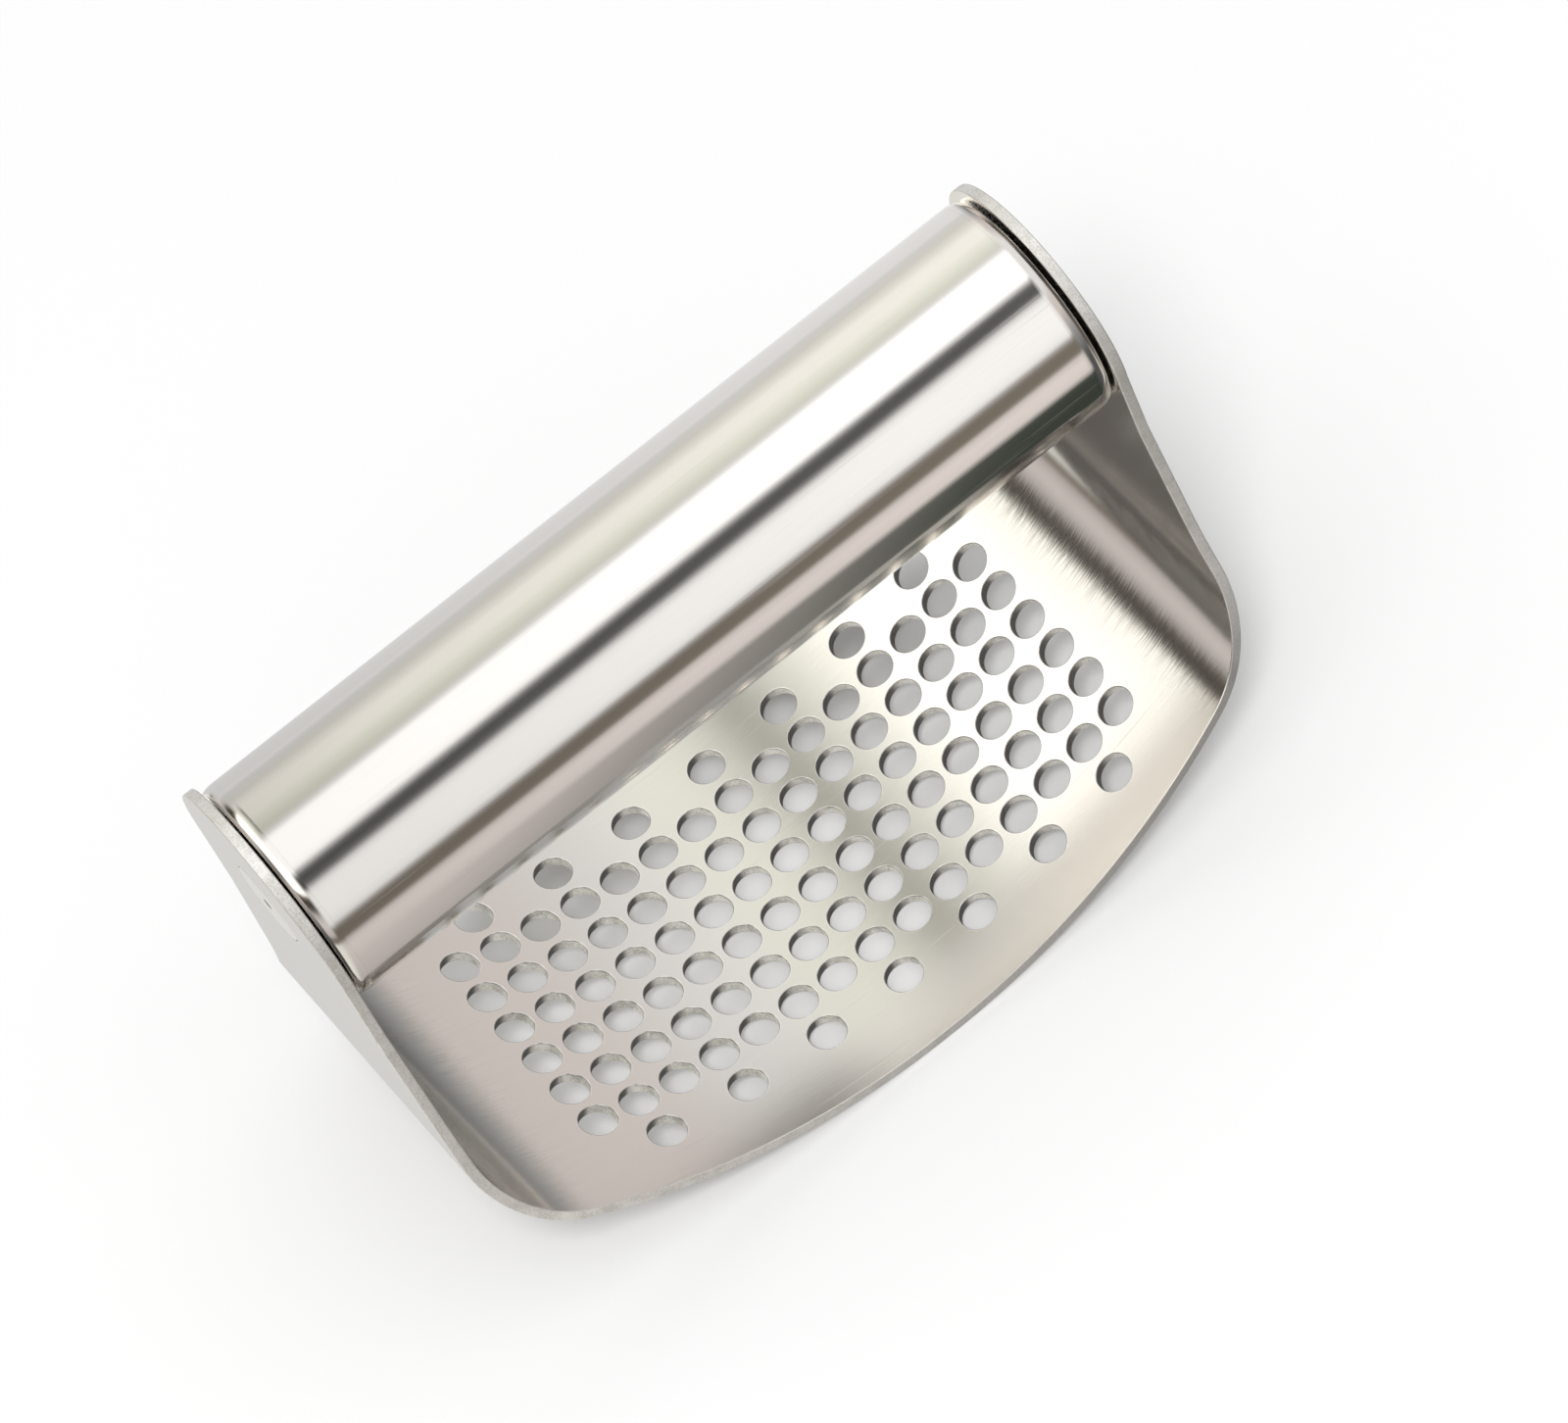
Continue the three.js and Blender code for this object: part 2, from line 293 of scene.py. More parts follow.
@dataclass(frozen=True)
class SteelFinish:
    """Stainless steel with a directional grain, fine scratches and cloudy wear."""

    name: str
    tint: Rgb
    worn_tint: Rgb
    roughness: float
    roughness_spread: float
    grain_length: float
    grain_width: float
    grain_depth: float
    scratch_depth: float
    space: GrainSpace
    brush_marks: BrushMarks | None = None
    streak_roughness: float = 0.55
    cloud_size: float = 22 * MM
    cloud_share: float = 0.4
    hair_share: float = 0.5
    scratch_threshold: float = 0.66
    scratch_contrast: float = 9.0
    scratch_roughness: float = 0.08

    def coordinates(self, nodes: TreeBuilder) -> Socket:
        """Gives the coordinates that the grain follows."""
        if self.space is GrainSpace.BLANK:
            return nodes.add("ShaderNodeUVMap", uv_map=GrainSpace.BLANK.value).outputs["UV"]
        return nodes.add("ShaderNodeTexCoord").outputs["Object"]

    def streaks(self, nodes: TreeBuilder, length: float, width: float, detail: float) -> Socket:
        """Makes noise drawn out along the grain.

        Args:
            nodes: The material's builder.
            length: The length of one streak, in metres.
            width: The width of one streak, in metres.
            detail: How many finer octaves it has.

        Returns:
            The noise, from 0 to 1.
        """
        mapping = nodes.make("ShaderNodeMapping", {
            "Vector": self.coordinates(nodes), "Scale": (1 / length, 1 / width, 1 / width)})
        return nodes.noise(mapping.outputs["Vector"], 1.0, detail, self.streak_roughness)

    def clouds(self, nodes: TreeBuilder, size: float) -> Socket:
        """Makes soft, slow variation over the surface."""
        return nodes.noise(nodes.add("ShaderNodeTexCoord").outputs["Object"], size, detail=3.0)

    def leaning_normal(self, nodes: TreeBuilder, marks: BrushMarks) -> Socket:
        """Tips the surface a little along each brush mark, and more where a bend starts.

        Args:
            nodes: The material's builder.
            marks: The marks' sizes.

        Returns:
            The tipped normal.
        """
        streaks = self.streaks(nodes, marks.length, marks.width, marks.detail)
        centred = nodes.math("MULTIPLY", nodes.math("SUBTRACT", streaks, 0.5), 2.0)
        station = nodes.math("ABSOLUTE", nodes.axes(self.coordinates(nodes))["X"])
        off_bend = nodes.distance(station, marks.bend_station)
        tufts = nodes.product(nodes.fade(off_bend, marks.bend_reach, 0),
                              self.clouds(nodes, marks.tuft_size))
        tip = nodes.product(centred, nodes.math(
            "MULTIPLY_ADD", tufts, marks.bend_lean, marks.lean))
        tangent = nodes.add("ShaderNodeTangent", direction_type="UV_MAP",
                            uv_map=GrainSpace.BLANK.value).outputs["Tangent"]
        straight = nodes.add("ShaderNodeNewGeometry").outputs["Normal"]
        moved = nodes.vector_math("ADD", straight, nodes.scaled(tangent, tip))
        return nodes.vector_math("NORMALIZE", moved)

    def build(self) -> bpy.types.Material:
        """Makes the material."""
        material, nodes, shader = new_material(self.name)
        grain = self.streaks(nodes, self.grain_length, self.grain_width, detail=4.0)
        hair = self.streaks(nodes, self.grain_length / 4, self.grain_width / 3, detail=2.0)
        long_marks = self.streaks(nodes, self.grain_length * 3, self.grain_width * 2, detail=1.0)
        scratch = nodes.math("MULTIPLY", nodes.math(
            "SUBTRACT", long_marks, self.scratch_threshold), self.scratch_contrast, clamp=True)
        wear = nodes.math("ADD", nodes.product(grain, 1 - self.cloud_share),
                          nodes.product(self.clouds(nodes, self.cloud_size), self.cloud_share))
        colour = nodes.mix_colour(wear, opaque(self.tint), opaque(self.worn_tint))
        rough = nodes.math("MULTIPLY_ADD", nodes.math("SUBTRACT", wear, 0.5),
                           2 * self.roughness_spread, self.roughness)
        rough = nodes.math("MULTIPLY_ADD", scratch, self.scratch_roughness, rough)
        height = nodes.math("ADD", grain, nodes.product(hair, self.hair_share))
        brushed = nodes.bump(height, self.grain_depth)
        scratched = nodes.bump(scratch, self.scratch_depth, invert=True)
        nodes.feed(scratched, "Normal", brushed.outputs["Normal"])
        if self.brush_marks:
            nodes.feed(brushed, "Normal", self.leaning_normal(nodes, self.brush_marks))
        make_metal(nodes, shader, colour, rough, scratched)
        return material


@dataclass(frozen=True)
class ShearedFinish:
    """The cut wall of a sheet: half burnished, half torn, with a granular glitter."""

    name: str
    tint: Rgb
    torn_tint: Rgb
    roughness: float
    grain: float
    depth: float
    patch_grains: float = 9
    patch_share: float = 0.4
    torn_threshold: float = 0.42
    torn_contrast: float = 6.0
    torn_roughness: float = 0.2

    def build(self) -> bpy.types.Material:
        """Makes the material."""
        material, nodes, shader = new_material(self.name)
        place = nodes.add("ShaderNodeTexCoord").outputs["Object"]
        grit = nodes.noise(place, self.grain, detail=4.0, roughness=0.6)
        patches = nodes.noise(place, self.patch_grains * self.grain, detail=2.0)
        mask = nodes.math("ADD", nodes.product(grit, 1 - self.patch_share),
                          nodes.product(patches, self.patch_share))
        torn = nodes.math("MULTIPLY", nodes.math("SUBTRACT", mask, self.torn_threshold),
                          self.torn_contrast, clamp=True)
        colour = nodes.mix_colour(torn, opaque(self.tint), opaque(self.torn_tint))
        rough = nodes.math("MULTIPLY_ADD", torn, self.torn_roughness, self.roughness)
        make_metal(nodes, shader, colour, rough, nodes.bump(grit, self.depth))
        return material


@dataclass(frozen=True)
class TurnedFinish:
    """Lathe-turned steel, with fine rings about the handle's axis."""

    name: str
    tint: Rgb
    roughness: float
    ring_pitch: float
    ring_depth: float
    axis_height: float
    dull_share: float = 0.85
    roughness_spread: float = 0.16

    def build(self) -> bpy.types.Material:
        """Makes the material."""
        material, nodes, shader = new_material(self.name)
        place = nodes.add("ShaderNodeTexCoord").outputs["Object"]
        axes = nodes.axes(place)
        rise = nodes.math("SUBTRACT", axes["Z"], self.axis_height)
        radius = nodes.math("SQRT", nodes.math("ADD", nodes.math("POWER", axes["Y"], 2.0),
                                               nodes.math("POWER", rise, 2.0)))
        rings = nodes.math("SINE", nodes.product(radius, FULL_TURN / self.ring_pitch))
        grit = nodes.noise(place, 2 * self.ring_pitch, detail=3.0)
        dull = tuple(self.dull_share * c for c in self.tint)
        colour = nodes.mix_colour(grit, opaque(self.tint), opaque(dull))
        rough = nodes.math("MULTIPLY_ADD", grit, self.roughness_spread, self.roughness)
        bump = nodes.bump(nodes.math("ADD", rings, grit), self.ring_depth)
        make_metal(nodes, shader, colour, rough, bump)
        return material


# --- Mesh helpers ---------------------------------------------------------------------------


def mesh_object(name: str, points: Sequence[Sequence[float]],
                faces: Sequence[Face]) -> bpy.types.Object:
    """Makes a smooth-shaded mesh object at the origin.

    Args:
        name: The object's name.
        points: Vertex places, in metres.
        faces: Vertex numbers, anticlockwise from outside.

    Returns:
        The object, linked to the scene.
    """
    mesh = bpy.data.meshes.new(name)
    mesh.from_pydata(points, [], faces)
    mesh.polygons.foreach_set("use_smooth", [True] * len(mesh.polygons))
    mesh.update()
    thing = bpy.data.objects.new(name, mesh)
    bpy.context.scene.collection.objects.link(thing)
    return thing


def add_bevel(thing: bpy.types.Object, width: float, segments: int, angle: float) -> None:
    """Rounds the sharp edges of a piece.

    Args:
        thing: The piece.
        width: The bevel's width, in metres.
        segments: How many faces the round has.
        angle: The least angle between faces that counts as sharp, in degrees.
    """
    bevel = thing.modifiers.new("rounded_edges", "BEVEL")
    bevel.width = width
    bevel.segments = segments
    bevel.limit_method = "ANGLE"
    bevel.angle_limit = math.radians(angle)
    bevel.harden_normals = True


def turned(name: str, rings: Sequence[Ring], axis_height: float, side: Side, segments: int,
           closed: bool) -> bpy.types.Object:
    """Turns a row of rings about the handle's axis into a closed piece.

    Args:
        name: The piece's name.
        rings: The rings, in order round or along the piece.
        axis_height: The height of the handle's axis.
        side: The end of the handle it is for.
        segments: How many vertices a ring has.
        closed: Whether the last ring joins the first; otherwise both ends close at a point.

    Returns:
        The piece.
    """
    points = []
    for radius, x in rings:
        for k in range(segments):
            angle = FULL_TURN * k / segments
            points.append((side.value * x, radius * math.cos(angle),
                           axis_height + radius * math.sin(angle)))
    faces = []
    count = len(rings)
    for i in range(count if closed else count - 1):
        first, second = i * segments, ((i + 1) % count) * segments
        for k in range(segments):
            nxt = (k + 1) % segments
            faces.append((first + k, first + nxt, second + nxt, second + k))
    if not closed:
        points.append((side.value * rings[0][1], 0.0, axis_height))
        points.append((side.value * rings[-1][1], 0.0, axis_height))
        start, end = len(points) - 2, len(points) - 1
        last = (count - 1) * segments
        for k in range(segments):
            nxt = (k + 1) % segments
            faces.append((start, nxt, k))
            faces.append((end, last + k, last + nxt))
    if side is Side.LEFT:
        faces = [tuple(reversed(face)) for face in faces]
    return mesh_object(name, points, faces)


def quarter_round(radius: float, x: float, run: float, drop: float, steps: int) -> list[Ring]:
    """Rings of an elliptical round, from the side of a disc to its face.

    Args:
        radius: The disc's radius.
        x: Where its face stands.
        run: How far the round reaches along the axis.
        drop: How far it reaches towards the axis.
        steps: How many faces it has.

    Returns:
        The rings.
    """
    rings = []
    for i in range(steps + 1):
        angle = QUARTER_TURN * i / steps
        rings.append((radius - drop * (1 - math.cos(angle)), x - run * (1 - math.sin(angle))))
    return rings


# --- Rocker sheet ---------------------------------------------------------------------------


@dataclass
class RockerSheet:
    """The bent, perforated sheet: a shallow rocker with an ear at each end.

    The sheet is laid out flat, as the blank it was cut from, and then folded. A length along the
    blank is called its station.
    """

    ear_outer_x: float
    axis_height: float
    ear_top: float
    mid_half_width: float
    thickness: float = 1.2 * MM
    rocker_radius: float = 89.3 * MM
    bend_radius: float = 12.6 * MM
    side_bulge_radius: float = 240 * MM
    shoulder_start: float = 40.4 * MM
    shoulder_pull: Point2 = (9 * MM, -1.6 * MM)
    neck_base: Point2 = (62 * MM, 15.1 * MM)
    neck_pull: Point2 = (-9 * MM, 1.35 * MM)
    neck_top: Point2 = (76 * MM, 12.95 * MM)
    shoulder_steps: int = 34
    ear_steps: int = 26
    ear_start_angle: float = math.radians(97.5)
    ear_hole_radius: float = 4.55 * MM
    ear_hole_segments: int = 72
    hole_radius: float = 2 * MM
    rim_ring_width: float = 0.2 * MM
    column_pitch: float = 4.88 * MM
    row_pitch: float = 5 * MM
    columns: int = 15
    full_rows: int = 8
    short_rows: int = 6
    tile_steps: int = 10
    margin_steps: int = 4
    run_in_steps: int = 4
    edge_loop: float = 0.4 * MM
    edge_round: float = 0.13 * MM

    @classmethod
    def from_frame(cls) -> "RockerSheet":
        """Reads the sheet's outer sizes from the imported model."""
        low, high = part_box("press_body")
        tube_low, tube_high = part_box("handle_tube")
        return cls(ear_outer_x=high.x, axis_height=(tube_low.z + tube_high.z) / 2,
                   ear_top=high.z, mid_half_width=(high.y - low.y) / 2)

    @property
    def ear_inner_x(self) -> float:
        """Where the inner faces of the ears stand."""
        return self.ear_outer_x - self.thickness

    @property
    def half_angle(self) -> float:
        """Half the angle that the rocker's arc covers."""
        return math.asin((self.ear_inner_x - self.bend_radius)
                         / (self.rocker_radius - self.bend_radius))

    @property
    def rocker_length(self) -> float:
        """The station where the arc ends and the bend starts."""
        return self.rocker_radius * self.half_angle

    @property
    def bend_length(self) -> float:
        """The length of one bend, along the blank."""
        return self.bend_radius * (QUARTER_TURN - self.half_angle)

    @property
    def bend_centre(self) -> Point2:
        """The centre of the right-hand bend, in X and Z."""
        reach = self.rocker_radius - self.bend_radius
        return (reach * math.sin(self.half_angle),
                self.thickness + self.rocker_radius - reach * math.cos(self.half_angle))

    @property
    def ear_axis_station(self) -> float:
        """The station of the handle's axis."""
        return self.rocker_length + self.bend_length + self.axis_height - self.bend_centre[1]

    @property
    def ear_radius(self) -> float:
        """The radius of the ear's round top."""
        return self.ear_top - self.axis_height

    @property
    def lattice_end(self) -> float:
        """The station where the outermost column of holes has its tile's edge."""
        return self.column_pitch * self.columns / 2

    @property
    def lattice_side(self) -> float:
        """The distance from the middle line to the outer edge of the outermost row's tiles."""
        return self.row_pitch * self.full_rows / 2

    def side_half_width(self, station: float) -> float:
        """The blank's half-width where its long edge bows outwards."""
        drop = self.side_bulge_radius - math.sqrt(self.side_bulge_radius**2 - station**2)
        return self.mid_half_width - drop

    def shoulder(self) -> list[Point2]:
        """Stations and half-widths from the long edge to the neck of the ear."""
        start = Vector((self.shoulder_start, self.side_half_width(self.shoulder_start)))
        end = Vector(self.neck_base)
        near, far = start + Vector(self.shoulder_pull), end + Vector(self.neck_pull)
        points = []
        for i in range(self.shoulder_steps + 1):
            t = i / self.shoulder_steps
            u = 1 - t
            point = (u**3 * start + 3 * u**2 * t * near + 3 * u * t**2 * far + t**3 * end)
            points.append((point.x, point.y))
        return points

    def ear_edge(self) -> list[Point2]:
        """Stations and half-widths from the neck to the top of the ear, on the middle line."""
        points = [self.neck_top]
        for i in range(self.ear_steps + 1):
            angle = self.ear_start_angle * (1 - i / self.ear_steps)
            points.append((self.ear_axis_station + self.ear_radius * math.cos(angle),
                           self.ear_radius * math.sin(angle)))
        return points

    def cross_lines(self, half_width: float) -> list[float]:
        """Where the blank's lengthwise mesh lines lie at a station inside the lattice."""
        count = self.tile_steps * self.full_rows
        inner = [self.lattice_side * (2 * i / count - 1) for i in range(count + 1)]
        span = half_width - self.edge_loop - self.lattice_side
        margin = [self.lattice_side + span * (i + 1) / self.margin_steps
                  for i in range(self.margin_steps)]
        margin.append(half_width)
        return [-y for y in reversed(margin)] + inner + margin

    def lattice_stations(self) -> list[float]:
        """Every station of the lattice's mesh lines."""
        count = self.tile_steps * self.columns
        return [self.lattice_end * (2 * i / count - 1) for i in range(count + 1)]

    def margins(self) -> tuple[list[Point2], list[Face]]:
        """Meshes the strips between the lattice and the two long edges.

        Returns:
            Flat points and faces.
        """
        points: list[Point2] = []
        faces: list[Face] = []
        lines = self.margin_steps + 2
        for sign in (-1, 1):
            base = len(points)
            stations = self.lattice_stations()
            for station in stations:
                rows = self.cross_lines(self.side_half_width(station))
                points += [(station, sign * y) for y in rows[-lines:]]
            for i in range(len(stations) - 1):
                for j in range(lines - 1):
                    a = base + i * lines + j
                    quad = (a, a + lines, a + lines + 1, a + 1)
                    faces.append(quad if sign > 0 else tuple(reversed(quad)))
        return points, faces

    def flank(self, sign: int) -> tuple[list[Point2], list[Face]]:
        """Meshes one end of the blank: the plain strip, the bend and the ear.

        Args:
            sign: 1 for the right end, -1 for the left.

        Returns:
            Flat points and faces.
        """
        shoulder = self.shoulder()
        fold_end = self.rocker_length + self.bend_length
        bent = [p for p in shoulder if p[0] < fold_end]
        bent.append(shoulder[len(bent)])
        run_in = [self.lattice_end + (self.shoulder_start - self.lattice_end) * i
                  / self.run_in_steps for i in range(self.run_in_steps)]
        rows = [(s, self.side_half_width(s)) for s in run_in] + bent
        lines = self.cross_lines(rows[0][1])
        points = [(sign * s, y * half / rows[0][1]) for s, half in rows for y in lines]
        width = len(lines)
        faces = []
        for i in range(len(rows) - 1):
            for j in range(width - 1):
                a = i * width + j
                faces.append((a, a + width, a + width + 1, a + 1))
        top = (len(rows) - 1) * width
        edge = shoulder[len(bent):] + self.ear_edge()
        for half in (1, -1):
            faces.append(self.ear_half(points, edge, top, width, sign, half))
        if sign < 0:
            faces = [tuple(reversed(face)) for face in faces]
        return points, faces

    def ear_half(self, points: list[Point2], edge: Sequence[Point2], row: int, width: int,
                 sign: int, half: int) -> Face:
        """Adds one half of an ear as a single flat face round half of the pin's hole.

        Args:
            points: The flat points so far, which this adds to.
            edge: Stations and half-widths up the ear's edge, ending on the middle line.
            row: The first point of the row that the ear stands on.
            width: How many points that row has.
            sign: 1 for the right end, -1 for the left.
            half: 1 for the half with positive Y, -1 for the other.

        Returns:
            The face.
        """
        middle = row + width // 2
        outline = list(range(middle, row + width)) if half > 0 else list(range(middle, row - 1, -1))
        for station, y in edge:
            points.append((sign * station, half * y))
            outline.append(len(points) - 1)
        steps = self.ear_hole_segments // 2
        for i in range(steps + 1):
            angle = math.pi * i / steps
            points.append((sign * (self.ear_axis_station + self.ear_hole_radius * math.cos(angle)),
                           half * self.ear_hole_radius * math.sin(angle)))
            outline.append(len(points) - 1)
        return tuple(reversed(outline)) if half > 0 else tuple(outline)

    def tile_border(self) -> list[Point2]:
        """Points round one tile of the lattice, anticlockwise from the middle of its right side."""
        half_x, half_y, steps = self.column_pitch / 2, self.row_pitch / 2, self.tile_steps
        count = 4 * steps
        border = []
        for k in range(count):
            side, along = divmod(k + steps // 2, steps)
            t = 2 * along / steps - 1
            x, y = ((1, t), (-t, 1), (-1, -t), (t, -1))[side % 4]
            border.append((x * half_x, y * half_y))
        return border

    def pierced_tile(self) -> bpy.types.Object:
        """Makes one tile of the lattice with its round hole, and marks the ring at its rim."""
        border = self.tile_border()
        count = len(border)
        rings = [border]
        for radius in (self.hole_radius + self.rim_ring_width, self.hole_radius):
            rings.append([(radius * math.cos(FULL_TURN * k / count),
                           radius * math.sin(FULL_TURN * k / count)) for k in range(count)])
        faces = []
        for ring in range(2):
            for k in range(count):
                nxt = (k + 1) % count
                outer, inner = ring * count, (ring + 1) * count
                faces.append((outer + k, outer + nxt, inner + nxt, inner + k))
        tile = mesh_object("pierced_tile", [(x, y, 0) for ring in rings for x, y in ring], faces)
        marks = tile.data.attributes.new("rim_ring", "BOOLEAN", "FACE")
        marks.data.foreach_set("value", [False] * count + [True] * count)
        return tile

    def plain_tile(self) -> bpy.types.Object:
        """Makes one tile of the lattice without a hole."""
        steps = self.tile_steps
        half_x, half_y = self.column_pitch / 2, self.row_pitch / 2
        points = [(half_x * (2 * i / steps - 1), half_y * (2 * j / steps - 1), 0)
                  for i in range(steps + 1) for j in range(steps + 1)]
        faces = [(i * (steps + 1) + j, (i + 1) * (steps + 1) + j,
                  (i + 1) * (steps + 1) + j + 1, i * (steps + 1) + j + 1)
                 for i in range(steps) for j in range(steps)]
        return mesh_object("plain_tile", points, faces)

    def surround(self) -> bpy.types.Object:
        """Makes the flat blank round the lattice: long margins, strips, bends and ears."""
        points: list[Point2] = []
        faces: list[Face] = []
        for part_points, part_faces in (self.margins(), self.flank(1), self.flank(-1)):
            base = len(points)
            points += part_points
            faces += [tuple(base + index for index in face) for face in part_faces]
        return mesh_object("rocker_sheet", [(x, y, 0) for x, y in points], faces)

    def build(self, finishes: dict[str, bpy.types.Material]) -> bpy.types.Object:
        """Makes the finished sheet.

        Args:
            finishes: The materials by name: sheet, rim, cut_edge and punched_wall.

        Returns:
            The piece.
        """
        blank = self.surround()
        tiles = [self.pierced_tile(), self.plain_tile()]
        folding = FoldedLattice(self, finishes["sheet"], finishes["rim"])
        sheet = folding.apply(blank, tiles)
        order = ("sheet", "rim", "cut_edge", "punched_wall")
        reorder_slots(sheet, [finishes[name] for name in order])
        shell = sheet.modifiers.new("sheet_thickness", "SOLIDIFY")
        shell.thickness = self.thickness
        shell.offset = -1
        shell.use_even_offset = True
        shell.material_offset_rim = order.index("cut_edge") - order.index("sheet")
        add_bevel(sheet, self.edge_round, segments=2, angle=50)
        return sheet


def reorder_slots(thing: bpy.types.Object, order: Sequence[bpy.types.Material]) -> None:
    """Gives a piece a fixed order of material slots and keeps each face's material."""
    mesh = thing.data
    used = [order.index(mesh.materials[face.material_index]) for face in mesh.polygons]
    mesh.materials.clear()
    for material in order:
        mesh.materials.append(material)
    mesh.polygons.foreach_set("material_index", used)
    mesh.update()


@dataclass
class FoldedLattice:
    """Geometry nodes that lay the perforation into the blank and fold it to shape."""

    sheet: RockerSheet
    sheet_material: bpy.types.Material
    rim_material: bpy.types.Material
    weld_distance: float = 0.005 * MM

    def inputs(self) -> dict[str, tuple[str, object]]:
        """The tree's named inputs, each with its socket type and value."""
        sheet = self.sheet
        return {
            "Column pitch": ("NodeSocketFloat", sheet.column_pitch),
            "Row pitch": ("NodeSocketFloat", sheet.row_pitch),
            "Columns": ("NodeSocketInt", sheet.columns),
            "Full rows": ("NodeSocketInt", sheet.full_rows),
            "Short rows": ("NodeSocketInt", sheet.short_rows),
            "Thickness": ("NodeSocketFloat", sheet.thickness),
            "Rocker radius": ("NodeSocketFloat", sheet.rocker_radius),
            "Rocker half angle": ("NodeSocketFloat", sheet.half_angle),
            "Bend radius": ("NodeSocketFloat", sheet.bend_radius),
            "Pierced tile": ("NodeSocketObject", None),
            "Plain tile": ("NodeSocketObject", None),
            "Sheet finish": ("NodeSocketMaterial", self.sheet_material),
            "Rim finish": ("NodeSocketMaterial", self.rim_material),
        }

    def tree(self) -> bpy.types.NodeTree:
        """Builds the node tree."""
        tree = bpy.data.node_groups.new("folded_lattice", "GeometryNodeTree")
        tree.interface.new_socket("Geometry", in_out="INPUT", socket_type="NodeSocketGeometry")
        for name, (kind, _value) in self.inputs().items():
            tree.interface.new_socket(name, in_out="INPUT", socket_type=kind)
        tree.interface.new_socket("Geometry", in_out="OUTPUT", socket_type="NodeSocketGeometry")
        nodes = TreeBuilder(tree)
        given = nodes.add("NodeGroupInput").outputs
        flat = self.flat_sheet(nodes, given)
        mapped = nodes.make("GeometryNodeStoreNamedAttribute", {
            "Geometry": flat, "Name": GrainSpace.BLANK.value,
            "Value": nodes.add("GeometryNodeInputPosition").outputs["Position"],
        }, data_type="FLOAT2", domain="CORNER")
        folded = nodes.make("GeometryNodeSetPosition", {
            "Geometry": mapped.outputs["Geometry"], "Position": self.folded_place(nodes, given)})
        smooth = nodes.make("GeometryNodeSetShadeSmooth", {
            "Geometry": folded.outputs["Geometry"], "Shade Smooth": True})
        whole = nodes.make("GeometryNodeRealizeInstances", {
            "Geometry": smooth.outputs["Geometry"]})
        dressed = nodes.make("GeometryNodeSetMaterial", {
            "Geometry": whole.outputs["Geometry"], "Material": given["Sheet finish"]})
        marks = nodes.make("GeometryNodeInputNamedAttribute", {"Name": "rim_ring"},
                           data_type="BOOLEAN")
        rims = nodes.make("GeometryNodeSetMaterial", {
            "Geometry": dressed.outputs["Geometry"], "Material": given["Rim finish"],
            "Selection": next(s for s in marks.outputs if s.enabled)})
        result = nodes.add("NodeGroupOutput")
        nodes.feed(result, "Geometry", rims.outputs["Geometry"])
        return tree

    def flat_sheet(self, nodes: TreeBuilder, given: bpy.types.NodeOutputs) -> Socket:
        """Sets a tile at each place of the lattice and welds them into the blank.

        Odd columns are short: their outermost tiles are plain.
        """
        span_x = nodes.product(given["Column pitch"],
                            nodes.math("SUBTRACT", given["Columns"], 1))
        span_y = nodes.product(given["Row pitch"],
                            nodes.math("SUBTRACT", given["Full rows"], 1))
        lattice = nodes.make("GeometryNodeMeshGrid", {
            "Size X": span_x, "Size Y": span_y, "Vertices X": given["Columns"],
            "Vertices Y": given["Full rows"]}).outputs["Mesh"]
        place = nodes.axes(nodes.add("GeometryNodeInputPosition").outputs["Position"])
        column = nodes.math("ROUND", nodes.math("DIVIDE", place["X"], given["Column pitch"]))
        odd = nodes.math("GREATER_THAN", nodes.math(
            "MODULO", nodes.math("ABSOLUTE", column), 2), 0.5)
        reach = nodes.product(given["Short rows"], 0.5, given["Row pitch"])
        outer = nodes.math("GREATER_THAN", nodes.math("ABSOLUTE", place["Y"]), reach)
        unpierced = nodes.product(odd, outer)
        parts = [given["Geometry"]]
        for name, chosen in (("Pierced tile", nodes.math("SUBTRACT", 1, unpierced)),
                             ("Plain tile", unpierced)):
            tile = nodes.make("GeometryNodeObjectInfo", {"Object": given[name]})
            spread = nodes.make("GeometryNodeInstanceOnPoints", {
                "Points": lattice, "Selection": chosen, "Instance": tile.outputs["Geometry"]})
            parts.append(spread.outputs["Instances"])
        joined = nodes.add("GeometryNodeJoinGeometry")
        for part in reversed(parts):
            nodes.feed(joined, "Geometry", part)
        whole = nodes.make("GeometryNodeRealizeInstances", {
            "Geometry": joined.outputs["Geometry"]})
        welded = nodes.make("GeometryNodeMergeByDistance", {
            "Geometry": whole.outputs["Geometry"], "Distance": self.weld_distance})
        return welded.outputs["Geometry"]

    def folded_place(self, nodes: TreeBuilder, given: bpy.types.NodeOutputs) -> Socket:
        """Maps a place on the blank to its place on the folded sheet's upper face."""
        place = nodes.axes(nodes.add("GeometryNodeInputPosition").outputs["Position"])
        station = nodes.math("ABSOLUTE", place["X"])
        radius, bend = given["Rocker radius"], given["Bend radius"]
        half_angle = given["Rocker half angle"]
        arc = nodes.product(radius, half_angle)
        bend_angle = nodes.math("SUBTRACT", QUARTER_TURN, half_angle)
        past_arc = nodes.math("MAXIMUM", nodes.math("SUBTRACT", station, arc), 0)
        past_bend = nodes.math("MAXIMUM", nodes.math(
            "SUBTRACT", past_arc, nodes.product(bend, bend_angle)), 0)
        on_arc = nodes.math("MINIMUM", nodes.math("DIVIDE", station, radius), half_angle)
        turned_by = nodes.math("MINIMUM", nodes.math("DIVIDE", past_arc, bend), bend_angle)
        on_bend = nodes.math("ADD", half_angle, turned_by)
